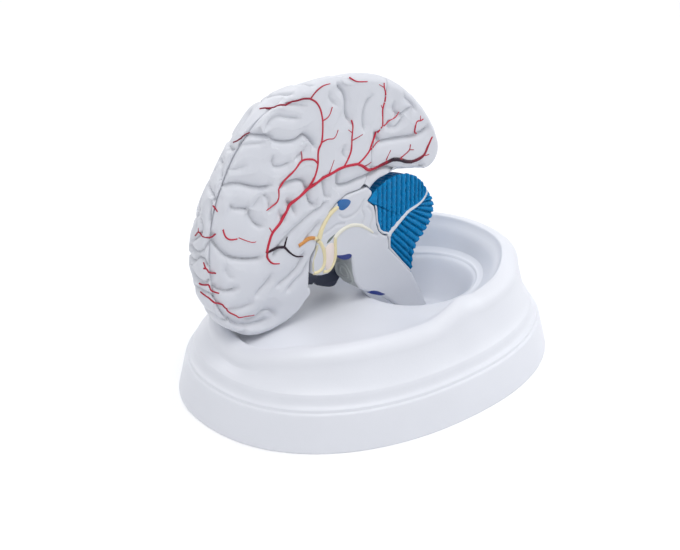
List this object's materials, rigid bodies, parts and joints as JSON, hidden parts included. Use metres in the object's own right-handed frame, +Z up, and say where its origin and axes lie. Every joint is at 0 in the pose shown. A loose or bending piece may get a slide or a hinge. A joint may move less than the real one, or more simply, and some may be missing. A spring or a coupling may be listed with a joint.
{
  "type": "brain anatomy model",
  "caption": "Life-size take-apart half brain for teaching, resting in a moulded oval base with a dished deck and a stem pit.",
  "frame": {"origin": "centre of the base's outline, on the ground", "axes": "+Z up, +X towards the back of the head, -Y out of the cut face, towards the viewer"},
  "size_m": [0.27, 0.204, 0.2051],
  "materials": {
    "base_shell": "white satin moulding",
    "cortex": "white satin, hand-painted arteries",
    "stem": "white satin, hand-painted",
    "cerebellum": "blue paint on the ribs",
    "pins": "plain turned"
  },
  "bodies": {
    "stand": {"base": "base_shell", "temporal_occipital_lobes": "cortex", "lobe_pins": "pins", "brainstem_pins": "pins"},
    "upper_lobes": {"frontal_parietal_lobes": "cortex"},
    "stem": {"brainstem_half": "stem", "cerebellum_pins": "pins"},
    "cerebellum": {"cerebellum_half": "cerebellum"}
  },
  "joints": [
    {"name": "upper_lobes_lift", "type": "slide", "parent": "stand", "child": "upper_lobes", "axis": [0, 0, 1], "range_m": [0, 0.06]},
    {"name": "stem_pull", "type": "slide", "parent": "stand", "child": "stem", "axis": [0, -1, 0], "range_m": [0, 0.016]},
    {"name": "cerebellum_pull", "type": "slide", "parent": "stem", "child": "cerebellum", "axis": [0.9781, 0, -0.2079], "range_m": [0, 0.03]}
  ]
}
